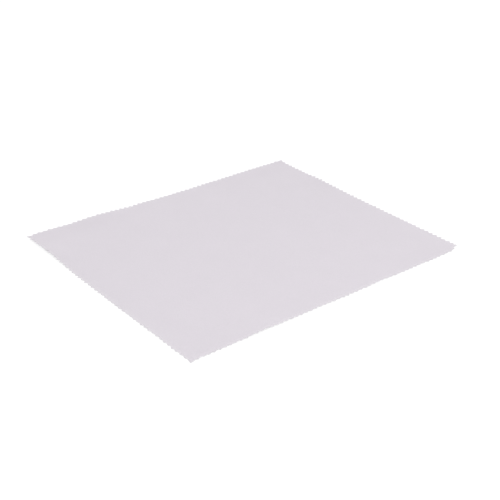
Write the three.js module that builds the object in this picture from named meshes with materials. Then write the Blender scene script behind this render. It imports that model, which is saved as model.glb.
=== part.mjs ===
// Thin cloth mouse pad: one sheet of split microfibre with a pinked edge, and a print of
// silicone grip dots under it. Millimetres, +Z up. The origin is on the desk, under the
// middle of the pad. +X points to the user's right, and +Y away from them.
import * as THREE from "three";

// Cloth
const PAD_WIDTH = 220; // along X, over the tips of the teeth
const PAD_DEPTH = 180; // along Y, over the tips of the teeth
const CLOTH_THICKNESS = 0.5;
const PITCHES_ALONG_WIDTH = 59; // of the pinked cut, on the near and far edges
const PITCHES_ALONG_DEPTH = 48; // and on the left and right edges
const TOOTH_DEPTH = 1.8; // from a tip to the bottom of a notch

// Silicone dots, in rows that are offset by half a pitch. A long row has one dot more.
const DOT_ROWS = 7;
const DOTS_IN_LONG_ROW = 8;
const DOT_PITCH = 25; // along a row
const ROW_PITCH = 22;
const DOT_DIAMETER = 5; // at the face that is bonded to the cloth
const DOT_TIP_DIAMETER = 3.2; // the flat that stands on the desk
const DOT_HEIGHT = 0.5;
const DOT_SIDES = 12;
const SHOULDER_STEPS = 3; // facets from the tip round to the bonded face

// The cloth is flat over the dots. Round them its free margin sinks towards the desk, apart
// from the places where it stands up: each is a smooth bump on the edge, as wide as its reach.
const MARGIN = 20;
const MARGIN_SAG = 0.35; // at the edge, where nothing lifts it
const RISES = [
  { x: -58, y: 90, height: 1.45, reach: 23 }, // far edge, left part
  { x: -100, y: 90, height: 1.25, reach: 19 }, // far left corner
  { x: -18, y: 90, height: 0.4, reach: 7 }, // far edge, middle
  { x: 38, y: 90, height: 0.25, reach: 11 }, // far edge, right part
  { x: 84, y: 90, height: 0.75, reach: 36 }, // far right corner
  { x: -110, y: 59, height: 1.5, reach: 19 }, // left edge, far part
  { x: -110, y: -55, height: 0.35, reach: 13 }, // left edge, near part
  { x: 110, y: 42, height: 0.8, reach: 19 }, // right edge
  { x: -57, y: -90, height: 0.65, reach: 14 }, // near edge, left part
  { x: -19, y: -90, height: 0.2, reach: 13 }, // near edge, middle
  { x: 34, y: -90, height: 0.4, reach: 12 }, // near edge, right part
  { x: 110, y: 90, height: 0.5, reach: 8 }, // tip of the far right corner
  { x: 110, y: -90, height: 0.6, reach: 8 }, // tip of the near right corner
];

// The net of the cloth's facets has rings of points inside the edge. At the last, the flat starts.
const FOLD_RINGS = [
  { inset: 8.5, step: 10 },
  { inset: 14, step: 10 },
  { inset: MARGIN, step: 45 },
];

const CLOTH_COLOUR = 0xe0dae1;
const SILICONE_COLOUR = 0xe6e5ea;

/** How far into its margin a point is, from its distance to the middle: 0 inside, 1 at the edge. */
function marginShare(distance, half) {
  return THREE.MathUtils.smoothstep(distance, half - MARGIN, half);
}

/** How far the cloth stands above its flat place at (x, y). It is 0 over the dots. */
function lift(x, y) {
  const acrossWidth = marginShare(Math.abs(x), PAD_WIDTH / 2);
  const acrossDepth = marginShare(Math.abs(y), PAD_DEPTH / 2);
  const free = 1 - (1 - acrossWidth) * (1 - acrossDepth);
  const raised = RISES.reduce((sum, rise) => {
    const away = Math.hypot(x - rise.x, y - rise.y) / rise.reach;
    return sum + rise.height * Math.exp(-away * away);
  }, 0);
  return free * (raised - MARGIN_SAG);
}

/** One pinked side as points [along, inset], from its first corner up to its last notch. Each
    corner is a tip with a whole pitch on either side of it, so it ends in a narrow point. */
function pinkedSide(length, pitches) {
  const pitch = length / pitches;
  const points = [[0, 0]];
  for (let k = 1; k < pitches; k++) {
    points.push([k * pitch, TOOTH_DEPTH]);
    points.push([(k + 0.5) * pitch, 0]);
  }
  points.pop();
  return points;
}

/** One side of a fold ring as points [along, inset], from its first corner up to the next. */
function foldSide(length, { inset, step }) {
  const run = length - 2 * inset;
  const cells = Math.round(run / step);
  return Array.from({ length: cells }, (_, k) => [inset + (k * run) / cells, inset]);
}

/** Points [x, y] round the pad from above: the near, right, far and left side in turn. */
function roundThePad(longSide, shortSide) {
  const [w, d] = [PAD_WIDTH / 2, PAD_DEPTH / 2];
  return [
    ...longSide.map(([along, inset]) => [along - w, inset - d]),
    ...shortSide.map(([along, inset]) => [w - inset, along - d]),
    ...longSide.map(([along, inset]) => [w - along, d - inset]),
    ...shortSide.map(([along, inset]) => [inset - w, d - along]),
  ];
}

/** Triangles between a closed run of points and one inside it, over the shorter diagonals. */
function joinRuns(outer, inner) {
  const triangles = [];
  const gap = (a, b) => Math.hypot(a[0] - b[0], a[1] - b[1]);
  let [i, j] = [0, 0];
  while (i < outer.length || j < inner.length) {
    const [a, aNext] = [outer[i % outer.length], outer[(i + 1) % outer.length]];
    const [b, bNext] = [inner[j % inner.length], inner[(j + 1) % inner.length]];
    const outerIsDone = i === outer.length;
    const innerIsDone = j === inner.length;
    if (innerIsDone || (!outerIsDone && gap(aNext, b) <= gap(a, bNext))) {
      triangles.push([a, aNext, b]);
      i++;
    } else {
      triangles.push([a, bNext, b]);
      j++;
    }
  }
  return triangles;
}

/** The cloth: an upper and a lower face over one net of triangles, and a wall along the cut. */
function padCloth() {
  const cut = roundThePad(
    pinkedSide(PAD_WIDTH, PITCHES_ALONG_WIDTH),
    pinkedSide(PAD_DEPTH, PITCHES_ALONG_DEPTH),
  );
  const rings = FOLD_RINGS.map((ring) =>
    roundThePad(foldSide(PAD_WIDTH, ring), foldSide(PAD_DEPTH, ring)),
  );
  const runs = [cut, ...rings];
  const middle = [0, 0];
  const flat = runs.at(-1);
  const net = [
    ...rings.flatMap((ring, k) => joinRuns(runs[k], ring)),
    ...flat.map((point, k) => [point, flat[(k + 1) % flat.length], middle]),
  ];
  const upper = ([x, y]) => [x, y, DOT_HEIGHT + CLOTH_THICKNESS + lift(x, y)];
  const lower = ([x, y]) => [x, y, DOT_HEIGHT + lift(x, y)];
  const corners = [
    ...net.flatMap(([a, b, c]) => [upper(a), upper(b), upper(c)]),
    ...net.flatMap(([a, b, c]) => [lower(c), lower(b), lower(a)]),
    ...cut.flatMap((a, k) => {
      const b = cut[(k + 1) % cut.length];
      return [lower(a), lower(b), upper(b), lower(a), upper(b), upper(a)];
    }),
  ];
  const geometry = new THREE.BufferGeometry();
  geometry.setAttribute("position", new THREE.Float32BufferAttribute(corners.flat(), 3));
  geometry.computeVertexNormals();
  const cloth = new THREE.Mesh(
    geometry,
    new THREE.MeshStandardMaterial({ color: CLOTH_COLOUR, roughness: 0.95, metalness: 0 }),
  );
  cloth.name = "pad_cloth";
  return cloth;
}

/** A dot about +Z: a flat tip at z = 0, a round shoulder, and the flat face that is bonded. */
function dotGeometry() {
  const [tip, face] = [DOT_TIP_DIAMETER / 2, DOT_DIAMETER / 2];
  const shoulder = new THREE.QuadraticBezierCurve(
    new THREE.Vector2(tip, 0),
    new THREE.Vector2(face, 0),
    new THREE.Vector2(face, DOT_HEIGHT),
  );
  const profile = [
    new THREE.Vector2(0, 0),
    ...shoulder.getPoints(SHOULDER_STEPS),
    new THREE.Vector2(0, DOT_HEIGHT),
  ];
  return new THREE.LatheGeometry(profile, DOT_SIDES).rotateX(Math.PI / 2);
}

/** All the dots. Row 1 is nearest to the user, and dot 1 of a row is at its left end. */
function gripDots() {
  const dots = new THREE.Group();
  const geometry = dotGeometry();
  const silicone = new THREE.MeshStandardMaterial({
    color: SILICONE_COLOUR,
    roughness: 0.35,
    metalness: 0,
  });
  for (let row = 0; row < DOT_ROWS; row++) {
    const inRow = DOTS_IN_LONG_ROW - (row % 2);
    for (let place = 0; place < inRow; place++) {
      const dot = new THREE.Mesh(geometry, silicone);
      dot.name = `grip_dot_r${row + 1}_d${place + 1}`;
      dot.position.x = (place - (inRow - 1) / 2) * DOT_PITCH;
      dot.position.y = (row - (DOT_ROWS - 1) / 2) * ROW_PITCH;
      dots.add(dot);
    }
  }
  return dots;
}

const pad = new THREE.Group();
pad.add(padCloth(), gripDots());
export default pad;
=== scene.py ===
# %% [markdown]
# # A thin cloth mouse pad
#
# The pad is one sheet of soft microfibre cloth, half a millimetre thick. Its edge is pinked, which
# means cut in a zigzag so that it doesn't fray. Small silicone dots under it keep it in place.
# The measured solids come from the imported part. This script leaves their sizes alone and gives
# the pad its looks: a finer cut edge, loose fibres, smooth dots, and a finish for each of them.
# Everything is in metres. +X is the user's right, +Y points away from them, and the desk is z = 0.

import bpy
import numpy as np
from mathutils import Matrix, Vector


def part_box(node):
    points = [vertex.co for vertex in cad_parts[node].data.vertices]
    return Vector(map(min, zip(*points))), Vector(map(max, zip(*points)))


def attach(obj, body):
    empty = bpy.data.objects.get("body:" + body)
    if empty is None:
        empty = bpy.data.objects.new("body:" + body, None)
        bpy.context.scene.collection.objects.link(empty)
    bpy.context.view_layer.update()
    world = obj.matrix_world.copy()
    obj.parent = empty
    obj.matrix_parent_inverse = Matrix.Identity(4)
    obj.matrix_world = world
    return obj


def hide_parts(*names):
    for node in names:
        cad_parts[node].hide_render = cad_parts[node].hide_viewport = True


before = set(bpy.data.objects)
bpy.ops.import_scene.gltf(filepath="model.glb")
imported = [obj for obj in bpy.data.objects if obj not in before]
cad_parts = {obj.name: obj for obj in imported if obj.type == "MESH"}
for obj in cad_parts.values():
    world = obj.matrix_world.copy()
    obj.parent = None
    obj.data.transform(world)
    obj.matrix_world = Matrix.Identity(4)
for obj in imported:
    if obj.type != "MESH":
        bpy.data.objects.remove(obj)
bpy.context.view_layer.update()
print("nodes in the packed part:", len(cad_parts))

# %% [markdown]
# ## Camera
#
# The pad is seen from its left front corner, from rather low down. A camera can be placed by eye,
# but here its angles come from the pad's four corners in the picture and the known sides of the
# pad. With the lens and the target they fix the whole view, so nothing needs to be shifted. The
# Standard view transform shows colours as they are, without a film look.

# %% Camera
CAMERA_TARGET = np.array([-0.0027, -0.0098, 0.0])  # a point on the desk
CAMERA_DISTANCE = 0.6415
CAMERA_ANGLES = np.radians([-40.22, 27.75, 1.59])  # azimuth, elevation and roll
LENS = 71.47  # millimetres, on a sensor that is 36 mm wide
NEAREST_SEEN = 0.01  # the camera draws nothing that is nearer to it


def camera_axes(azimuth, elevation, roll):
    """Right, up and back of a camera. Back points from the target to the camera, by its azimuth
    and elevation. Level lies flat across it, and roll turns level and upright about back."""
    flat = np.cos(elevation)
    back = np.array([np.sin(azimuth) * flat, -np.cos(azimuth) * flat, np.sin(elevation)])
    level = np.array([np.cos(azimuth), np.sin(azimuth), 0.0])
    upright = np.cross(back, level)
    right = level * np.cos(roll) + upright * np.sin(roll)
    up = upright * np.cos(roll) - level * np.sin(roll)
    return right, up, back


right, up, back = camera_axes(*CAMERA_ANGLES)
camera_place = CAMERA_TARGET + back * CAMERA_DISTANCE
camera_matrix = np.eye(4)
camera_matrix[:3] = np.column_stack([right, up, back, camera_place])
camera = bpy.data.objects.new("camera", bpy.data.cameras.new("camera"))
camera.data.lens = LENS
camera.data.clip_start = NEAREST_SEEN
camera.matrix_world = Matrix(camera_matrix.tolist())
bpy.context.scene.collection.objects.link(camera)
bpy.context.scene.camera = camera
bpy.context.scene.view_settings.view_transform = "Standard"
print("camera at", camera_place.round(4), "metres")

# %% [markdown]
# ## Nodes in a few words
#
# A material is a tree of nodes. Building one takes the same three things again and again: a new
# node, its settings, and its inputs, which are either values or links from other nodes. One small
# helper does all three, and a second one does sums. The third turns screen colours, as a picture
# shows them, into the linear colours that shaders work with.

# %% Node helpers
def add_node(tree, kind, settings=None, inputs=None):
    """A new node with its settings, and each input set to a value or linked to a socket."""
    node = tree.nodes.new(kind)
    for name, value in (settings or {}).items():
        setattr(node, name, value)
    for name, value in (inputs or {}).items():
        if isinstance(value, bpy.types.NodeSocket):
            tree.links.new(value, node.inputs[name])
        else:
            node.inputs[name].default_value = value
    return node


def add_math(tree, operation, *values):
    """The result of one sum on values or sockets."""
    settings = {"operation": operation}
    return add_node(tree, "ShaderNodeMath", settings, dict(enumerate(values))).outputs[0]


def linear(red, green, blue):
    """The linear colour of three 8-bit screen values: (v + 0.055) / 1.055, to the power 2.4."""
    screen = np.array([red, green, blue]) / 255
    return (*np.power((screen + 0.055) / 1.055, 2.4).tolist(), 1.0)


print("screen grey 128 is", round(linear(128, 128, 128)[0], 3), "in linear light")

# %% [markdown]
# ## Sky
#
# The pad lies on plain white in flat, soft light. Most of that light is the sky, an even white
# glow from all sides. The camera is to see pure white behind the pad, and that is more than the
# light that the sky may throw on it. A brighter sky would wash the pad out. So Light Path tells
# rays that look from rays that light, and each kind meets a sky of its own strength.

# %% Sky
SKY_LIGHT = 0.55
WHITE = (1.0, 1.0, 1.0, 1.0)


def looking(tree):
    """1 for rays from the camera, a mirror or clear matter, and 0 for rays that light things."""
    rays = add_node(tree, "ShaderNodeLightPath").outputs
    mirrored = add_math(tree, "MAXIMUM", rays["Is Glossy Ray"], rays["Is Transmission Ray"])
    return add_math(tree, "MAXIMUM", rays["Is Camera Ray"], mirrored)


world = bpy.data.worlds.new("sky")
bpy.context.scene.world = world
world.use_nodes = True
sky = world.node_tree
sky.nodes.clear()
lit = add_node(sky, "ShaderNodeBackground", None, {"Color": WHITE, "Strength": SKY_LIGHT})
seen = add_node(sky, "ShaderNodeBackground", None, {"Color": WHITE, "Strength": 1.0})
inputs = {0: looking(sky), 1: lit.outputs[0], 2: seen.outputs[0]}
sky_shader = add_node(sky, "ShaderNodeMixShader", None, inputs)
add_node(sky, "ShaderNodeOutputWorld", None, {"Surface": sky_shader.outputs[0]})
print("the sky lights at", SKY_LIGHT, "and has", len(sky.nodes), "nodes")

# %% [markdown]
# ## Ceiling and lamp
#
# Even light from all sides alone looks flat, so two lamps give it a direction. A sun shines alike
# on every part of the pad. Made very broad, it is more like a white ceiling, and its shadows have
# no edges. A small wide lamp over the front of the pad makes that part slightly brighter. With
# the sky they add up to about 1 on a level surface, where a colour renders as it is written.

# %% Ceiling and lamp
CEILING_LIGHT = 0.389  # of the light on a level surface
CEILING_WIDTH = np.radians(100)
LAMP_WATTS = 0.4
LAMP_SIDE = 0.25
LAMP_PLACE = (-0.05, -0.25, 0.50)

ceiling = bpy.data.objects.new("ceiling", bpy.data.lights.new("ceiling", "SUN"))
ceiling.data.energy = CEILING_LIGHT * np.pi
ceiling.data.angle = CEILING_WIDTH
bpy.context.scene.collection.objects.link(ceiling)

lamp = bpy.data.objects.new("lamp", bpy.data.lights.new("lamp", "AREA"))
lamp.data.energy = LAMP_WATTS
lamp.data.size = LAMP_SIDE
lamp.location = LAMP_PLACE
bpy.context.scene.collection.objects.link(lamp)
print("a ceiling at", CEILING_LIGHT, "and a lamp of", LAMP_WATTS, "watts")

# %% [markdown]
# ## Desk
#
# The desk is a large white square, and it isn't a part of the pad. To rays that light things it
# is matt white, and throws their light back up. To rays that look, most of its white is a glow of
# its own, so that it meets the white sky without a line. The rest of its white takes the pad's
# shadow, which is only faint in such a bright picture. It lies a hair under the pad, because two
# faces at the very same height would show in patches, now one and now the other.

# %% Desk
DESK_HALF = 3.0
DESK_LEVEL = -0.00001  # the tips of the dots are at 0
DESK_WHITE = 0.93
DESK_SEEN = 0.26
DESK_GLOW = 0.82

desk_mesh = bpy.data.meshes.new("desk")
desk_corners = np.array([[-1, -1, 0], [1, -1, 0], [1, 1, 0], [-1, 1, 0]]) * DESK_HALF
desk_corners[:, 2] = DESK_LEVEL
desk_mesh.from_pydata(desk_corners.tolist(), [], [[0, 1, 2, 3]])
desk = bpy.data.objects.new("desk", desk_mesh)
bpy.context.scene.collection.objects.link(desk)

desk_white = bpy.data.materials.new("desk_white")
desk_white.use_nodes = True
tree = desk_white.node_tree
tree.nodes.clear()
looks = looking(tree)
tone = add_math(tree, "MULTIPLY_ADD", looks, DESK_SEEN - DESK_WHITE, DESK_WHITE)
matt = add_node(tree, "ShaderNodeBsdfDiffuse", None, {"Color": tone})
strength = add_math(tree, "MULTIPLY", looks, DESK_GLOW)
glow = add_node(tree, "ShaderNodeEmission", None, {"Strength": strength})
both = add_node(tree, "ShaderNodeAddShader", None, {0: matt.outputs[0], 1: glow.outputs[0]})
add_node(tree, "ShaderNodeOutputMaterial", None, {"Surface": both.outputs[0]})
desk_mesh.materials.append(desk_white)
print("the desk is", 2 * DESK_HALF, "metres square, with", len(tree.nodes), "nodes")

# %% [markdown]
# ## Measures of the pad
#
# The finished pad has the measures of the solid part, so they come first. The rises are places
# where the free margin of the cloth stands up from the desk. Each is a smooth bump on the edge of
# the pad, with a height and a reach, and together they give the pad its slightly wavy outline.

# %% Measures of the pad
PAD = np.array([0.220, 0.180])  # width and depth, over the tips of the teeth
CLOTH_THICKNESS = 0.0005
DOT_HEIGHT = 0.0005
MARGIN = 0.020
MARGIN_SAG = 0.00035
RISES = np.array([  # x, y, height and reach in millimetres
    [-58, 90, 1.45, 23],  # far edge, left part
    [-100, 90, 1.25, 19],  # far left corner
    [-18, 90, 0.4, 7],  # far edge, middle
    [38, 90, 0.25, 11],  # far edge, right part
    [84, 90, 0.75, 36],  # far right corner
    [-110, 59, 1.5, 19],  # left edge, far part
    [-110, -55, 0.35, 13],  # left edge, near part
    [110, 42, 0.8, 19],  # right edge
    [-57, -90, 0.65, 14],  # near edge, left part
    [-19, -90, 0.2, 13],  # near edge, middle
    [34, -90, 0.4, 12],  # near edge, right part
    [110, 90, 0.5, 8],  # tip of the far right corner
    [110, -90, 0.6, 8],  # tip of the near right corner
]) / 1000
print("rises of the margin:", len(RISES), "of up to", RISES[:, 2].max(), "metres")

# %% [markdown]
# ## How the cloth lies
#
# The cloth is flat over the dots. Its free margin, outside the dots, sinks towards the desk, but
# stands up a millimetre or so at the rises. A cloth simulation could drape it, but would put the
# waves where it likes. So the height is a formula, and the same one as in the solid part.

# %% Height of the cloth
def margin_share(distance, half):
    """0 over the dots and 1 at the edge, by 3 t squared - 2 t cubed in between."""
    t = np.clip((np.abs(distance) - half) / MARGIN + 1, 0, 1)
    return t * t * (3 - 2 * t)


def fade(distance, reach):
    """1 at distance 0, and almost 0 at twice the reach: exp(-(distance / reach) squared)."""
    return np.exp(-((distance / reach) ** 2))


def lift(x, y):
    """Height of the cloth above its flat place: the heights of the rises, each fading with the
    distance from it, less the sag, and all of that times the share of the margin."""
    free = 1 - (1 - margin_share(x, PAD[0] / 2)) * (1 - margin_share(y, PAD[1] / 2))
    away = np.hypot(x[..., None] - RISES[:, 0], y[..., None] - RISES[:, 1])
    return free * ((RISES[:, 2] * fade(away, RISES[:, 3])).sum(-1) - MARGIN_SAG)


far_x = np.linspace(-PAD[0] / 2, PAD[0] / 2, 100)
far_edge = lift(far_x, np.full_like(far_x, PAD[1] / 2))
print("the far edge is lifted by", far_edge.min().round(5), "to", far_edge.max().round(5), "metres")

# %% [markdown]
# ## Teeth of the pinked cut
#
# Pinking blades press out a row of small triangles. Drawn with straight lines they look like
# folded paper, so each tip and notch is rounded a little here: the arcsine of a cosine is a
# perfect zigzag, and a cosine that is damped slightly before the arcsine rounds its corners. The
# teeth are counted from one corner of the pad to the next. A corner is a tip by itself, with
# only half a tooth in the pitch next to it.

# %% Zigzag of a side
PITCHES = (59, 48)  # along a long and a short side
STATIONS = 14  # points along the cut for each pitch
TIP_SHARPNESS = 0.975  # at 1 the tips and notches would be points


def teeth_passed(share, pitches):
    """Teeth passed at a share of a side: one for each pitch, and half a one for each end pitch."""
    last = pitches - 1
    return np.interp(share * pitches, [0, 1, last, pitches], [0, 0.5, last - 0.5, last])


def zigzag(teeth):
    """1 at a tip and -1 at the bottom of a notch: arcsin(k cos(2 pi teeth)) / arcsin(k)."""
    return np.arcsin(TIP_SHARPNESS * np.cos(2 * np.pi * teeth)) / np.arcsin(TIP_SHARPNESS)


print("tips between the corners, on a long and a short side:", [n - 2 for n in PITCHES])

# %% [markdown]
# ## Four uneven sides
#
# In real cloth no two teeth are quite alike. The blades bite deeper at one place than at the
# next, so the depth goes up and down from stroke to stroke. Nor do they follow a straight line,
# so each side has a middle line of its own. And each tooth gets its own small length, lean and
# curl. The random numbers come from a seeded generator, so that the pad is the same every time.

# %% Measures of the cut
TOOTH_DEPTH = 0.0018
STROKE = 0.022  # between places where the blades bite more or less
SETTLE = 0.006  # from a corner to where a side has its own middle line and bite
MIDDLE_INSET = np.array([  # of the zigzag's middle line, at the start, middle and end of a side
    [0.25, -0.05, -0.35],  # near side, from the left
    [0.30, 0.30, 0.30],  # right side, from the near end
    [0.20, 0.30, 0.45],  # far side, from the right
    [1.20, 0.45, 0.30],  # left side, from the far end
]) / 1000
BITE = [(0.30, 0.80), (1.00, 1.45), (0.60, 1.40), (0.50, 1.00)]  # least and most on each side
LEAN = (-0.00030, 0.00030)  # of a tip along its side
TIP_INSET = (-0.00020, 0.00030)  # of a tip that is longer or shorter than the rest
NOTCH_INSET = (-0.00030, 0.00015)  # of a notch that is shallower or deeper than the rest
CURL = (-0.00005, 0.00022)  # of a tip, upwards
random = np.random.default_rng(seed=48)


def uneven(count, low, high):
    """Random numbers from low to high, with 0 at both ends, where the corners of the pad are."""
    values = random.uniform(low, high, count)
    values[[0, -1]] = 0
    return values


print("a tip leans by up to", LEAN[1] * 1000, "mm and curls up by as much as", CURL[1] * 1000)

# %% [markdown]
# ## From teeth to points
#
# A side is worked out all at once, as arrays along it. First come the teeth that are passed at
# each point, and with them the tip and the notch that the point belongs to. Near a tip its own
# small lean, length and curl count in full, and they fade to nothing at the notches, so that the
# line stays smooth. The corners keep their places, because both ends of a side settle from there.

# %% Sides of the cut
def pinked_side(side):
    """Points of one side as (along, inset), how far each one curls up, and its share of the side.
    The inset is that of the middle line, less half the depth times the bite times the zigzag."""
    pitches, length = PITCHES[side % 2], PAD[side % 2]
    share = np.arange(pitches * STATIONS) / (pitches * STATIONS)
    teeth = teeth_passed(share, pitches)
    tip, near_tip = np.rint(teeth).astype(int), np.cos(np.pi * teeth) ** 2
    notch, near_notch = np.floor(teeth).astype(int), 1 - near_tip

    # How deep the blades bite and where the middle line runs, away from the corners
    strokes = np.linspace(0, 1, round(length / STROKE))
    bite = np.interp(share, strokes, random.uniform(*BITE[side], len(strokes)))
    settled = 1 - fade(np.minimum(share, 1 - share) * length, SETTLE)
    middle = np.interp(share, [0, 0.5, 1], MIDDLE_INSET[side])
    middle = TOOTH_DEPTH / 2 + settled * (middle - TOOTH_DEPTH / 2)
    half_depth = TOOTH_DEPTH / 2 * (1 + settled * (bite - 1))

    # The zigzag itself, with the small differences from tooth to tooth
    along = share * length + uneven(pitches, *LEAN)[tip] * near_tip
    inset = middle - half_depth * zigzag(teeth)
    inset += uneven(pitches, *TIP_INSET)[tip] * near_tip
    inset += uneven(pitches, *NOTCH_INSET)[notch] * near_notch
    curl = uneven(pitches, *CURL)[tip] * near_tip
    return along, inset, curl, share


sides = [pinked_side(side) for side in range(4)]
print("mean inset of each side in mm:", [round(side[1].mean() * 1000, 2) for side in sides])

# %% [markdown]
# ## Corners and the closed outline
#
# The corners of the pad fall where the blades happened to meet. The far left one is a sharp
# point, the one opposite it is cut off aslant, and at the other two the first notches are
# shallow. So near a corner the notches lose a share of their depth, and the cut is moved: by up
# to a millimetre, or by two where it is aslant. Both fade with the distance from the corner.

# %% Outline of the pinked cut
ALONG = np.array([[1, 0], [0, 1], [-1, 0], [0, -1]])  # the near, right, far and left side
INWARD = np.array([[0, 1], [-1, 0], [0, -1], [1, 0]])
CORNERS = np.array([[-1, -1], [1, -1], [1, 1], [-1, 1]]) * PAD / 2  # the start of each side
CORNER_MOVES = np.array([[0.0, -0.6], [-0.1, 2.2], [0.9, -0.4], [0.4, -0.1]]) / 1000
MOVE_REACH = np.array([0.0065, 0.0045, 0.0030, 0.0020])
CORNER_FILL = np.array([0.80, 0.30, 0.70, 0.20])  # share of its depth that a notch loses
FILL_REACH = 0.0060

side_of = np.repeat(np.arange(4), [len(side[0]) for side in sides])
along, inset, curl, share = (np.concatenate(values) for values in zip(*sides))
cut = CORNERS[side_of] + along[:, None] * ALONG[side_of]
to_corner = np.linalg.norm(cut[:, None] - CORNERS, axis=-1)
inset *= 1 - fade(to_corner, FILL_REACH) @ CORNER_FILL
cut += inset[:, None] * INWARD[side_of]
cut += fade(to_corner, MOVE_REACH) @ CORNER_MOVES
cut_length = np.linalg.norm(cut - np.roll(cut, 1, 0), axis=1).sum()
print("the cut has", len(cut), "points and is", cut_length.round(3), "metres long")

# %% [markdown]
# ## Band of cloth along the cut
#
# The cut needs three points to the millimetre, and the flat middle needs far fewer. So the sheet
# has two nets. This one is a profile that is carried along the cut: over the top of the cloth,
# round the soft cut edge, and back under it. It reaches 4 mm into the pad on both faces.
# The blades squeeze the cloth where they cut, so it is thinner at its edge.

# %% Band along the cut
INNER_INSET = 0.004
BAND = np.array([0.84, 0.60, 0.38, 0.20])  # rows on either face, as a share of the way in
EDGE_ANGLES = np.radians([68, 34, 0, -34, -68])  # rows round the cut edge
EDGE_ROUND = 0.00016  # how far the round cut edge stands out
SQUEEZE = 0.35  # share of the thickness that is lost at the cut
SQUEEZE_REACH = 0.0006


def sheet_points(x, y, depth, face, curl=0.0):
    """Points of the sheet at x, y. Face is 1 on top, -1 below and in between round the edge. The
    height is the middle of the cloth plus face times half its thickness, and the thickness is
    less by a share that fades with the depth inside the cut as exp(-depth / reach)."""
    half = CLOTH_THICKNESS / 2 * (1 - SQUEEZE * np.exp(-depth / SQUEEZE_REACH))
    z = DOT_HEIGHT + CLOTH_THICKNESS / 2 + lift(x, y) + curl + face * half
    return np.stack([x, y, z], -1)


inner_along = INNER_INSET + share * (PAD[side_of % 2] - 2 * INNER_INSET)
inner = CORNERS[side_of] + inner_along[:, None] * ALONG[side_of] + INNER_INSET * INWARD[side_of]
reach = np.linalg.norm(inner - cut, axis=1)
way_in = (inner - cut) / reach[:, None]

rows_in = BAND[:, None] * reach
rows_round = np.tile(EDGE_ROUND * (1 - np.cos(EDGE_ANGLES))[:, None], len(cut))
depth = np.vstack([rows_in, rows_round, rows_in[::-1]])
face = np.concatenate([np.ones(len(BAND)), np.sin(EDGE_ANGLES), -np.ones(len(BAND))])[:, None]
band_xy = cut + way_in * depth[..., None]
band_curl = curl * (1 - depth / reach) ** 2
band = sheet_points(band_xy[..., 0], band_xy[..., 1], depth, face, band_curl)
print("rows of the band and points along each:", band.shape[:2])

# %% [markdown]
# ## Middle of the cloth
#
# The second net is a regular grid on the rectangle that the band leaves free, once for the upper
# face and once for the lower one. Its cells are just under 2 mm wide, so it also shows how the
# margin rises and sinks. The thickness follows the same formula, so the two nets meet smoothly.

# %% Grids for the middle
CELLS = (114, 92)  # along the width and the depth

grid_half = PAD / 2 - INNER_INSET
grid_x, grid_y = np.meshgrid(
    np.linspace(-grid_half[0], grid_half[0], CELLS[0] + 1),
    np.linspace(-grid_half[1], grid_half[1], CELLS[1] + 1),
)
grid_depth = np.minimum(PAD[0] / 2 - np.abs(grid_x), PAD[1] / 2 - np.abs(grid_y))
top = sheet_points(grid_x, grid_y, grid_depth, 1)
bottom = sheet_points(grid_x, grid_y, grid_depth, -1)
print("rows and columns of points on a face:", top.shape[:2])

# %% [markdown]
# ## From points to faces
#
# A net of points becomes faces by joining neighbours, always anticlockwise as seen from outside,
# because that is how a renderer and an export tell the outside from the inside. Two joins cover
# every shape here: four-sided faces over a net, and triangles between a fine and a coarse rim.

# %% Joining points by their numbers
def quads(net):
    """Faces between neighbours of a net of point numbers, on its last two axes. They face the
    side from which the columns run to the right and the rows upwards."""
    corners = [net[..., :-1, :-1], net[..., :-1, 1:], net[..., 1:, 1:], net[..., 1:, :-1]]
    return np.stack(corners, -1).reshape(-1, 4)


def grid_rim(net):
    """Point numbers round a grid: the near, right, far and left side in turn."""
    return np.concatenate([net[0, :-1], net[:-1, -1], net[-1, :0:-1], net[:0:-1, 0]])


def join_rims(fine, coarse, nearest):
    """Triangles between two closed rims. Each step of the fine rim goes to its nearest coarse
    point, and one more triangle fills the gap wherever the nearest point changes."""
    before = np.roll(nearest, 1)
    steps = np.stack([fine, np.roll(fine, -1), coarse[nearest]], -1)
    fills = np.stack([fine, coarse[nearest], coarse[before]], -1)[before != nearest]
    return np.vstack([steps, fills])


print("faces on a net of 3 by 4 points:", len(quads(np.arange(12).reshape(3, 4))))

# %% [markdown]
# ## Faces of the cloth
#
# The band closes on itself along the cut, so its first column is repeated after its last. Its
# outer rows are then joined to the rims of the two grids. Each face gets the number of a finish:
# brushed nap on top, knitted back below, and the raw cut in between.

# %% Faces of the cloth
NAP, BACK, CUT = range(3)  # numbers of the cloth's finishes

rows, stations = depth.shape
band_net = np.arange(rows * stations).reshape(rows, stations)
top_net = band_net.size + np.arange(grid_x.size).reshape(grid_x.shape)
bottom_net = top_net + top_net.size
closed_band = np.hstack([band_net, band_net[:, :1]])[::-1]  # its rows run upwards

# Each step along the cut goes to the point of a grid's rim that is nearest to its middle.
cells = np.array(CELLS)[side_of % 2]
first_cell = np.array([0, CELLS[0], sum(CELLS), sum(CELLS) + CELLS[0]])[side_of]
step_share = share + 0.5 / (np.array(PITCHES)[side_of % 2] * STATIONS)
nearest = (first_cell + np.rint(step_share * cells).astype(int)) % (2 * sum(CELLS))

cloth_points = np.concatenate([part.reshape(-1, 3) for part in (band, top, bottom)])
top_faces = [quads(top_net), join_rims(band_net[0], grid_rim(top_net), nearest)]
bottom_faces = [quads(bottom_net), join_rims(band_net[-1], grid_rim(bottom_net), nearest)]
bottom_faces = [faces[:, ::-1] for faces in bottom_faces]  # turned over, to face down
cloth_faces = [quads(closed_band), *top_faces, *bottom_faces]
band_finish = [BACK] * len(BAND) + [CUT] * (len(EDGE_ANGLES) - 1) + [NAP] * len(BAND)
cloth_finish = [np.repeat(band_finish, stations)]
cloth_finish += [np.full(len(faces), NAP) for faces in top_faces]
cloth_finish += [np.full(len(faces), BACK) for faces in bottom_faces]
print("faces of the cloth:", [len(faces) for faces in cloth_faces])

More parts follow.
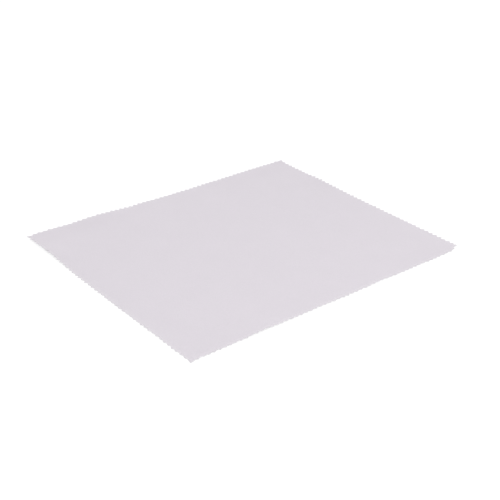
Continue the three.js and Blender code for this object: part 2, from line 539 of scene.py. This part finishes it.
# %% [markdown]
# ## Making and measuring a piece
#
# A piece of the pad is a mesh whose place is in its points, so its object stays at the origin. It
# is smooth-shaded, it goes with the pad's one body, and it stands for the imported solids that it
# refines. Afterwards the piece is measured: if every edge joins two faces, it has two face
# corners for each edge and is closed, and if its volume is above 0, its faces point outwards.

# %% Piece helpers
def make_piece(name, points, faces, stands_for, face_finish=None):
    """A smooth piece from points and a list of arrays of faces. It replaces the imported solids
    that are named, and face_finish lists the number of each face's finish in the same way."""
    mesh = bpy.data.meshes.new(name)
    mesh.from_pydata(points.tolist(), [], [face for part in faces for face in part.tolist()])
    mesh.polygons.foreach_set("use_smooth", np.ones(len(mesh.polygons), bool))
    if face_finish is not None:
        mesh.polygons.foreach_set("material_index", np.concatenate(face_finish).astype(np.int32))
    mesh.update()
    piece = bpy.data.objects.new(name, mesh)
    bpy.context.scene.collection.objects.link(piece)
    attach(piece, "root")
    if stands_for:
        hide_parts(*stands_for)
    return piece


def measure(piece):
    """Prints the triangles of a piece, whether it is closed, and its volume, which is the sum of
    a . (b x c) / 6 over its triangles."""
    mesh = piece.data
    mesh.calc_loop_triangles()
    numbers = np.empty(len(mesh.loop_triangles) * 3, np.int32)
    mesh.loop_triangles.foreach_get("vertices", numbers)
    points = np.empty(len(mesh.vertices) * 3, np.float32)
    mesh.vertices.foreach_get("co", points)
    a, b, c = points.astype(float).reshape(-1, 3)[numbers.reshape(-1, 3)].transpose(1, 0, 2)
    volume = np.einsum("ij,ij->", a, np.cross(b, c)) / 6
    state = "closed" if len(mesh.loops) == 2 * len(mesh.edges) else "open"
    print(piece.name, "has", len(a), "triangles, is", state, end=" ")
    print("and holds", round(volume * 1e9, 3), "cubic mm")


print("packed solids to refine:", len(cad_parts))

# %% [markdown]
# ## Sheet of cloth
#
# Top, cut edge and back are one closed mesh, as the real sheet is one piece of cloth. Two open
# sheets would be less work, but light would leak between them and nobody could print them. Each
# point also keeps its depth inside the cut, for the brushed finish. A value that is stored on the
# points goes wherever the mesh goes, so the finish doesn't need to know the shape of the pad.

# %% Sheet of cloth
cloth = make_piece(
    "microfibre_sheet", cloth_points, cloth_faces, ["pad_cloth"], cloth_finish
)
from_cut = np.concatenate([part.ravel() for part in (depth, grid_depth, grid_depth)])
from_cut_layer = cloth.data.attributes.new("from_cut", "FLOAT", "POINT")
from_cut_layer.data.foreach_set("value", from_cut.astype(np.float32))
measure(cloth)

# %% [markdown]
# ## Loose fibres
#
# A fresh cut through microfibre is never clean: single hairs, thinner than a tenth of a
# millimetre, stick out of it. Particle hair could make them, but it isn't a mesh and would be
# lost in an export. So they are drawn as lines first, and get their thickness in the next cell.
# Each starts just inside the cut, points outwards and strays from there, and has a bend.

# %% Lines of the loose fibres
FIBRES = 1300
FIBRE_ROOT = 0.00012  # how deep the hairs start inside the cut
FIBRE_SPREAD = 0.6  # of their roots over the thickness of the cut edge
FIBRE_REACH = (0.00018, 0.00052)  # how far they stick out of it
FIBRE_STRAY = ([-0.8, -0.8, -0.35], [0.8, 0.8, 0.45])  # least and most along x, y and z
FIBRE_BEND = 0.5  # most along each axis, as a share of their length

at = random.integers(0, stations, FIBRES)
fibre_length = random.uniform(*FIBRE_REACH, FIBRES) + FIBRE_ROOT
heading = np.column_stack([-way_in[at], np.zeros(FIBRES)])
heading += random.uniform(*FIBRE_STRAY, (FIBRES, 3))
heading /= np.linalg.norm(heading, axis=1, keepdims=True)
bend = random.uniform(-FIBRE_BEND, FIBRE_BEND, (FIBRES, 3))
middle_row = len(BAND) + len(EDGE_ANGLES) // 2
fibre_root = np.column_stack([cut[at] + way_in[at] * FIBRE_ROOT, band[middle_row, at, 2]])
half_edge = CLOTH_THICKNESS / 2 * (1 - SQUEEZE)
fibre_root[:, 2] += random.uniform(-FIBRE_SPREAD, FIBRE_SPREAD, FIBRES) * half_edge
print("the hairs are", fibre_length.min().round(5), "to", fibre_length.max().round(5), "metres long")

# %% [markdown]
# ## Tubes of the loose fibres
#
# Each hair becomes a small closed tube with three sides, thinner at its tip. Three sides are
# enough, because no hair is ever wide enough in a picture to show them. Its middle line is its
# root, plus its heading times its length times t, plus its bend times its length times t squared.
# A hair that would reach into the desk lies on it instead.

# %% Tubes of the loose fibres
FIBRE_RADIUS = 0.000016
FIBRE_TAPER = 0.6  # share of the radius that is lost at the tip
FIBRE_FLOOR = 0.00003  # the lowest that the middle line of a hair lies
HAIR_STEPS = np.linspace(0, 1, 5)  # t of each ring of points along a hair
HAIR_SIDES = np.radians([0, 120, 240])

across = np.cross(heading, [0.0, 0.0, 1.0])
across /= np.linalg.norm(across, axis=1, keepdims=True)
turn = HAIR_SIDES[:, None]
ring = np.cos(turn) * across[:, None] + np.sin(turn) * np.cross(heading, across)[:, None]
t = HAIR_STEPS[None, :, None]
path = heading[:, None] * t + bend[:, None] * t * t
line = fibre_root[:, None] + fibre_length[:, None, None] * path
line[..., 2] = np.maximum(line[..., 2], FIBRE_FLOOR)
thickness = FIBRE_RADIUS * (1 - FIBRE_TAPER * HAIR_STEPS)[None, :, None, None]
fibre_points = line[:, :, None] + thickness * ring[:, None]

fibre_net = np.arange(fibre_points.size // 3).reshape(fibre_points.shape[:3])
fibre_faces = [
    quads(np.concatenate([fibre_net, fibre_net[..., :1]], -1)),
    fibre_net[:, 0, ::-1],
    fibre_net[:, -1],
]
fibres = make_piece("cut_fibres", fibre_points.reshape(-1, 3), fibre_faces, [])
measure(fibres)

# %% [markdown]
# ## Shape of a silicone dot
#
# The dots are printed on as drops of silicone, pressed flat at the tip while they cure. A dot is
# a profile turned about its own upright line: a flat tip on the desk, a round shoulder, and the
# flat that is bonded to the cloth. The shoulder is a curve that starts level at the tip and ends
# upright at the cloth. No printed drop is a perfect circle, so its radius swells a little two
# and three times round.

# %% Shape of a silicone dot
DOT_RADIUS = 0.0025
TIP_RADIUS = 0.0016
DOT_SEGMENTS = 28
SHOULDER = np.array([0, 0.14, 0.28, 0.42, 0.56, 0.70, 0.84, 0.97, 1.0])  # u of each row
OUT_OF_ROUND = (0.004, 0.014)  # least and most, as a share of the radius


def dot_profile():
    """Radius and height up the side of a dot. The shoulder at u is (1-u)^2 tip + 2u(1-u) bend +
    u^2 face, where the bend is level with the tip and straight below the edge of the face."""
    u = SHOULDER[:, None]
    tip, bend, face = [TIP_RADIUS, 0], [DOT_RADIUS, 0], [DOT_RADIUS, DOT_HEIGHT]
    shoulder = (1 - u) ** 2 * tip + 2 * u * (1 - u) * bend + u**2 * face
    return np.vstack([[TIP_RADIUS / 2, 0], shoulder, [DOT_RADIUS / 2, DOT_HEIGHT]])


def dot_points(centre):
    """A dot round its centre: its rows, then the middles of its tip and its bonded face."""
    angle = np.arange(DOT_SEGMENTS) / DOT_SEGMENTS * 2 * np.pi
    oval, wobble = random.uniform(*OUT_OF_ROUND, 2)
    oval_turn, wobble_turn = random.uniform(0, 2 * np.pi, 2)
    swell = 1 + oval * (np.cos(2 * angle + oval_turn) - 1)
    swell += wobble * (np.cos(3 * angle + wobble_turn) - 1)
    radius, height = dot_profile().T
    x = centre[0] + radius[:, None] * swell * np.cos(angle)
    y = centre[1] + radius[:, None] * swell * np.sin(angle)
    z = np.broadcast_to(height[:, None], x.shape)
    poles = [[*centre[:2], 0.0], [*centre[:2], DOT_HEIGHT]]
    return np.vstack([np.stack([x, y, z], -1).reshape(-1, 3), poles])


print("rows of points up a dot:", len(dot_profile()), "with", DOT_SEGMENTS, "points round each")

# %% [markdown]
# ## Silicone dots
#
# All the dots have the same faces, so these are joined up once: a net round the side, and two
# fans that close it at the tip and at the cloth. Copies of one mesh would be lighter, but then
# every dot would have the same uneven outline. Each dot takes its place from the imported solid
# that it stands for, because the print was laid out there.

# %% Silicone dots
dot_rows = len(dot_profile())
dot_net = np.arange(dot_rows * DOT_SEGMENTS).reshape(dot_rows, DOT_SEGMENTS)
dot_net = np.hstack([dot_net, dot_net[:, :1]])
low_pole, high_pole = (np.full(DOT_SEGMENTS, dot_rows * DOT_SEGMENTS + n) for n in (0, 1))
dot_faces = [
    quads(dot_net),
    np.stack([low_pole, dot_net[0, 1:], dot_net[0, :-1]], -1),
    np.stack([dot_net[-1, :-1], dot_net[-1, 1:], high_pole], -1),
]
dots = []
for node in sorted(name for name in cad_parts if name.startswith("grip_dot")):
    lowest, highest = (np.array(corner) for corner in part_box(node))
    name = node.replace("grip", "silicone")
    dots.append(make_piece(name, dot_points((lowest + highest) / 2), dot_faces, [node]))
print("dots:", len(dots))
measure(dots[0])

# %% [markdown]
# ## Patterns that materials share
#
# A pattern that several materials use is a node group: a small tree with named inputs and
# outputs that is built once and placed in each of them. Most patterns here start from noise,
# which is a smooth random value at each point of space. Its values are mostly 0.25 to 0.75, so a
# second helper carries them to the range that a tone or a roughness needs.

# %% Helpers for node groups
FLOAT, VECTOR, COLOUR = "NodeSocketFloat", "NodeSocketVector", "NodeSocketColor"


def new_group(name, takes, gives):
    """An empty shader group. takes and gives list its sockets as (name, kind, value)."""
    group = bpy.data.node_groups.new(name, "ShaderNodeTree")
    for in_out, sockets in (("INPUT", takes), ("OUTPUT", gives)):
        for socket, kind, value in sockets:
            made = group.interface.new_socket(socket, in_out=in_out, socket_type=kind)
            if value is not None:
                made.default_value = value
    return group, add_node(group, "NodeGroupInput").outputs


def noise(tree, place, size, detail, output="Fac"):
    """Noise with features of about that size in metres. Fac is one value, and Color is three."""
    inputs = {"Vector": place, "Scale": add_math(tree, "DIVIDE", 1.0, size), "Detail": detail}
    return add_node(tree, "ShaderNodeTexNoise", None, inputs).outputs[output]


def spread(tree, value, low, high):
    """A noise value carried to low and high in a straight line: 0.25 goes to low, 0.75 to high."""
    inputs = {"Value": value, "From Min": 0.25, "From Max": 0.75, "To Min": low, "To Max": high}
    return add_node(tree, "ShaderNodeMapRange", {"clamp": False}, inputs).outputs[0]


def scale_colour(tree, colour, share):
    """A colour made darker or lighter: each of its channels times the share."""
    inputs = {0: colour, "Scale": share}
    return add_node(tree, "ShaderNodeVectorMath", {"operation": "SCALE"}, inputs).outputs[0]


print("node groups so far:", len(bpy.data.node_groups))

# %% [markdown]
# ## Grain of the fibres
#
# Microfibre looks smooth from a step away. Close up it is a short brushed nap: fine hairs that
# lie mostly one way, a little lighter and darker from tuft to tuft, with broad soft patches where
# a hand has stroked it. A stretched noise gives both the tone and the height of such hairs. All
# the cloth finishes and the silicone use it, each at its own sizes.

# %% Node group for fibre grain
grain_group, given = new_group(
    "fibre_grain",
    [
        ("Place", VECTOR, None),
        ("Colour", COLOUR, (0.7, 0.7, 0.7, 1.0)),
        ("Tuft", FLOAT, 0.0003),
        ("Stretch", FLOAT, 3.0),
        ("Tuft Tone", FLOAT, 0.03),
        ("Patch", FLOAT, 0.02),
        ("Patch Tone", FLOAT, 0.006),
    ],
    [("Colour", COLOUR, None), ("Height", FLOAT, None)],
)
tree = grain_group
shorter = add_math(tree, "DIVIDE", 1.0, given["Stretch"])
squash = add_node(tree, "ShaderNodeCombineXYZ", None, {"X": 1.0, "Y": shorter, "Z": 1.0})
inputs = {0: given["Place"], 1: squash.outputs[0]}
squashed = add_node(tree, "ShaderNodeVectorMath", {"operation": "MULTIPLY"}, inputs).outputs[0]
tufts = noise(tree, squashed, given["Tuft"], detail=3.0)
patches = noise(tree, given["Place"], given["Patch"], detail=2.0)
tuft_share = spread(tree, tufts, low=-1, high=1)
patch_share = spread(tree, patches, low=-1, high=1)
tuft_tone = add_math(tree, "MULTIPLY", tuft_share, given["Tuft Tone"])
patch_tone = add_math(tree, "MULTIPLY", patch_share, given["Patch Tone"])
tone = add_math(tree, "ADD", add_math(tree, "ADD", tuft_tone, patch_tone), 1.0)
grained = scale_colour(tree, given["Colour"], tone)
add_node(tree, "NodeGroupOutput", None, {"Colour": grained, "Height": tufts})
print("group", grain_group.name, "has", len(tree.nodes), "nodes")

# %% [markdown]
# ## Knitted loops
#
# Under the nap the cloth is knitted. Its loops stand in straight columns, called wales, and in
# rows, called courses. On the brushed face only the fine loops of the pile just show through,
# about three to the millimetre. On the back the loops of the ground, twice as large, are the
# whole look. Each loop shows two legs that lean apart, like a V. So their height is the product
# of two waves. One runs across the wales, with two humps to each. The other runs along them, and
# is later the further it is from the middle of its wale. Each wave is (1 + cos(2 pi turns)) / 2.
#
# Real loops stray a little from their rows, so each place is first moved by a smooth noise. The
# noise goes from 0 to 1, so the whole pattern moves a little too, which doesn't show. Perfect rows
# would also give false stripes wherever the pixels of a picture, or of an exported map, are about
# as large as a loop.

# %% Node group for knitted loops
STRAY_SIZE = 0.0012  # features of the noise that moves the loops, in metres


def wave(tree, turns):
    """0 to 1 and back over each turn: (1 + cos(2 pi turns)) / 2."""
    cosine = add_math(tree, "COSINE", add_math(tree, "MULTIPLY", turns, 2 * np.pi))
    return add_math(tree, "MULTIPLY_ADD", cosine, 0.5, 0.5)


knit_group, given = new_group(
    "knitted_loops",
    [
        ("Place", VECTOR, None),
        ("Wale", FLOAT, 0.00038),
        ("Course", FLOAT, 0.00030),
        ("Lean", FLOAT, 1.6),
        ("Stray", FLOAT, 0.0005),
    ],
    [("Height", FLOAT, None)],
)
tree = knit_group
swirl = noise(tree, given["Place"], STRAY_SIZE, detail=1.0, output="Color")
inputs = {0: swirl, 1: given["Stray"], 2: given["Place"]}
strayed = add_node(tree, "ShaderNodeVectorMath", {"operation": "MULTIPLY_ADD"}, inputs).outputs[0]
spot = add_node(tree, "ShaderNodeSeparateXYZ", None, {0: strayed}).outputs
wales = add_math(tree, "DIVIDE", spot["X"], given["Wale"])
courses = add_math(tree, "DIVIDE", spot["Y"], given["Course"])
in_wale = add_math(tree, "SUBTRACT", add_math(tree, "FRACT", wales), 0.5)
later = add_math(tree, "MULTIPLY", add_math(tree, "ABSOLUTE", in_wale), given["Lean"])
legs_across = wave(tree, add_math(tree, "MULTIPLY_ADD", wales, 2.0, 0.5))
legs_along = wave(tree, add_math(tree, "SUBTRACT", courses, later))
loops = add_math(tree, "MULTIPLY", legs_across, legs_along)
add_node(tree, "NodeGroupOutput", None, {"Height": loops})
print("group", knit_group.name, "has", len(tree.nodes), "nodes")

# %% [markdown]
# ## Parts of a finish
#
# Every finish starts and ends alike. It reads Object coordinates, which are the same as places on
# the pad because its pieces stay at the origin, and it ends in one shader on the surface. In
# between it places the node groups, and turns their heights into bumps, which bend the light
# without moving the surface.

# %% Finish helpers
def start_finish(name):
    """A material with nothing in it yet, and Object coordinates to draw its patterns on."""
    finish = bpy.data.materials.new(name)
    finish.use_nodes = True
    finish.node_tree.nodes.clear()
    place = add_node(finish.node_tree, "ShaderNodeTexCoord").outputs["Object"]
    return finish, finish.node_tree, place


def add_group(tree, group, inputs):
    """A node group placed in a material, with its inputs set. Returns its outputs."""
    return add_node(tree, "ShaderNodeGroup", {"node_tree": group}, inputs).outputs


def bump(tree, height, strength, distance):
    """A normal that follows a height from 0 to 1, which stands for that distance in metres."""
    inputs = {"Height": height, "Strength": strength, "Distance": distance}
    return add_node(tree, "ShaderNodeBump", None, inputs).outputs[0]


def end_finish(finish, tree, inputs):
    """The one shader of a material, with its inputs, joined to the surface."""
    shader = add_node(tree, "ShaderNodeBsdfPrincipled", None, inputs)
    add_node(tree, "ShaderNodeOutputMaterial", None, {"Surface": shader.outputs[0]})
    print("finish", finish.name, "has", len(tree.nodes), "nodes")


# %% [markdown]
# ## Brushed face of the cloth
#
# The face is a pale lilac white, quite matt, with the soft glow that a nap has when light grazes
# it. Sheen gives that glow. Within a few millimetres of the cut the nap is a trace lighter, and
# further in it has its own colour. That follows the depth inside the cut, which is stored on the
# cloth's points.

# %% Brushed face
LILAC_WHITE = linear(224, 219, 225)
NEAR_CUT_WHITE = linear(227, 223, 228)
NEAR_CUT_DEPTHS = (0.0002, 0.0032)  # from where the nap is a trace lighter to where it has its own colour
LOOPS_SHOWING = 0.25  # share of the height of the loops that shows through the nap


def blend_colours(tree, share, first, second):
    """The first colour at share 0 and the second at share 1."""
    inputs = {0: share, 6: first, 7: second}
    return add_node(tree, "ShaderNodeMix", {"data_type": "RGBA"}, inputs).outputs[2]


nap, tree, place = start_finish("microfibre_nap")
depth_in = add_node(tree, "ShaderNodeAttribute", {"attribute_name": "from_cut"}).outputs["Fac"]
inputs = {"Value": depth_in, "From Min": NEAR_CUT_DEPTHS[0], "From Max": NEAR_CUT_DEPTHS[1]}
inside = add_node(tree, "ShaderNodeMapRange", {"interpolation_type": "SMOOTHSTEP"}, inputs)
colour = blend_colours(tree, inside.outputs[0], NEAR_CUT_WHITE, LILAC_WHITE)
inputs = {"Place": place, "Colour": colour, "Tuft": 0.00028, "Tuft Tone": 0.034}
grain = add_group(tree, grain_group, inputs)
loops = add_group(tree, knit_group, {"Place": place})["Height"]
height = add_math(tree, "MULTIPLY_ADD", loops, LOOPS_SHOWING, grain["Height"])
end_finish(nap, tree, {
    "Base Color": grain["Colour"],
    "Roughness": spread(tree, grain["Height"], low=0.86, high=0.98),
    "Normal": bump(tree, height, strength=0.65, distance=0.00010),
    "Diffuse Roughness": 0.8,
    "Specular IOR Level": 0.2,
    "Sheen Weight": 0.05,
    "Sheen Roughness": 0.5,
})

# %% [markdown]
# ## Knitted back
#
# The back isn't brushed, so its loops show. Their colour is painted lighter on top and darker in
# the gaps: a painted highlight and painted shade over the relief that the bump gives them. The
# yarn lies smooth there, so the back is a little shinier than the face. Tone and bump come from
# the same loops, so that they fit each other.

# %% Knitted back
BACK_WHITE = linear(224, 219, 226)
# painted shade in the gaps between the loops and a painted highlight on their tops
LOOP_PAINTED_SHADE = (0.90, 1.02)  # share of the colour in the gaps and on top of the loops

knit_back, tree, place = start_finish("microfibre_back")
inputs = {"Place": place, "Colour": BACK_WHITE, "Tuft": 0.0005, "Tuft Tone": 0.02}
grain = add_group(tree, grain_group, inputs)
inputs = {"Place": place, "Wale": 0.0008, "Course": 0.0006}
loops = add_group(tree, knit_group, inputs)["Height"]
inputs = {"Value": loops, "To Min": LOOP_PAINTED_SHADE[0], "To Max": LOOP_PAINTED_SHADE[1]}
shade = add_node(tree, "ShaderNodeMapRange", None, inputs).outputs[0]
end_finish(knit_back, tree, {
    "Base Color": scale_colour(tree, grain["Colour"], shade),
    "Roughness": spread(tree, grain["Height"], low=0.66, high=0.80),
    "Normal": bump(tree, loops, strength=0.8, distance=0.00014),
    "Specular IOR Level": 0.3,
    "Sheen Weight": 0.08,
    "Sheen Roughness": 0.5,
})

# %% [markdown]
# ## Cut edge and loose hairs
#
# At the cut the ends of the yarns stand in the open: short, dense and rather ragged. So the edge
# gets a coarser grain that isn't stretched. Its much lighter tone is painted light: the upright
# cut stands in shade, and the lighter colour keeps that shade from showing as a dark line. The
# loose hairs are the same fibre, seen one by one. They are smooth and slightly shiny, and too thin
# to need a bump.

# %% Cut edge and loose hairs
# painted light: lighter than the cloth, so that the shaded upright cut doesn't show as a dark line
CUT_WHITE_PAINTED_LIGHT = linear(244, 241, 245)

yarn_ends, tree, place = start_finish("microfibre_cut")
inputs = {"Place": place, "Colour": CUT_WHITE_PAINTED_LIGHT, "Stretch": 1.0}
inputs |= {"Tuft": 0.00012, "Tuft Tone": 0.06}
grain = add_group(tree, grain_group, inputs)
end_finish(yarn_ends, tree, {
    "Base Color": grain["Colour"],
    "Roughness": spread(tree, grain["Height"], low=0.90, high=1.0),
    "Normal": bump(tree, grain["Height"], strength=0.8, distance=0.00010),
    "Specular IOR Level": 0.15,
    "Sheen Weight": 0.2,
    "Sheen Roughness": 0.5,
})

hair, tree, place = start_finish("microfibre_hair")
inputs = {"Place": place, "Colour": LILAC_WHITE, "Tuft": 0.0004, "Stretch": 1.0, "Tuft Tone": 0.05}
grain = add_group(tree, grain_group, inputs)
end_finish(hair, tree, {
    "Base Color": grain["Colour"],
    "Roughness": spread(tree, grain["Height"], low=0.45, high=0.65),
    "Specular IOR Level": 0.3,
})

for finish in (nap, knit_back, yarn_ends):  # in the order of their numbers
    cloth.data.materials.append(finish)
fibres.data.materials.append(hair)

# %% [markdown]
# ## Silicone
#
# Silicone rubber is milky: light enters it, scatters and comes out again close by, which is
# subsurface scattering. Its surface is smooth with a dull gloss, and it picks up dust, which
# shows as fine specks where it is rougher. Glass-like transmission would make the dots look wet.

# %% Silicone finish
MILKY_WHITE = linear(231, 230, 234)
DUST_SPECK = 0.00035
CLEAN_ROUGHNESS = 0.30
DUST_ROUGHNESS = 0.22  # on top of that, where the dust lies

silicone, tree, place = start_finish("silicone_rubber")
dust = spread(tree, noise(tree, place, DUST_SPECK, detail=4.0), low=0.0, high=1.0)
inputs = {"Place": place, "Colour": MILKY_WHITE, "Stretch": 1.0}
inputs |= {"Tuft": 0.0009, "Tuft Tone": 0.015, "Patch": 0.004, "Patch Tone": 0.01}
grain = add_group(tree, grain_group, inputs)
end_finish(silicone, tree, {
    "Base Color": grain["Colour"],
    "Roughness": add_math(tree, "MULTIPLY_ADD", dust, DUST_ROUGHNESS, CLEAN_ROUGHNESS),
    "Normal": bump(tree, dust, strength=0.25, distance=0.00003),
    "IOR": 1.41,
    "Subsurface Weight": 0.3,
    "Subsurface Scale": 0.0008,
})
for dot in dots:
    dot.data.materials.append(silicone)
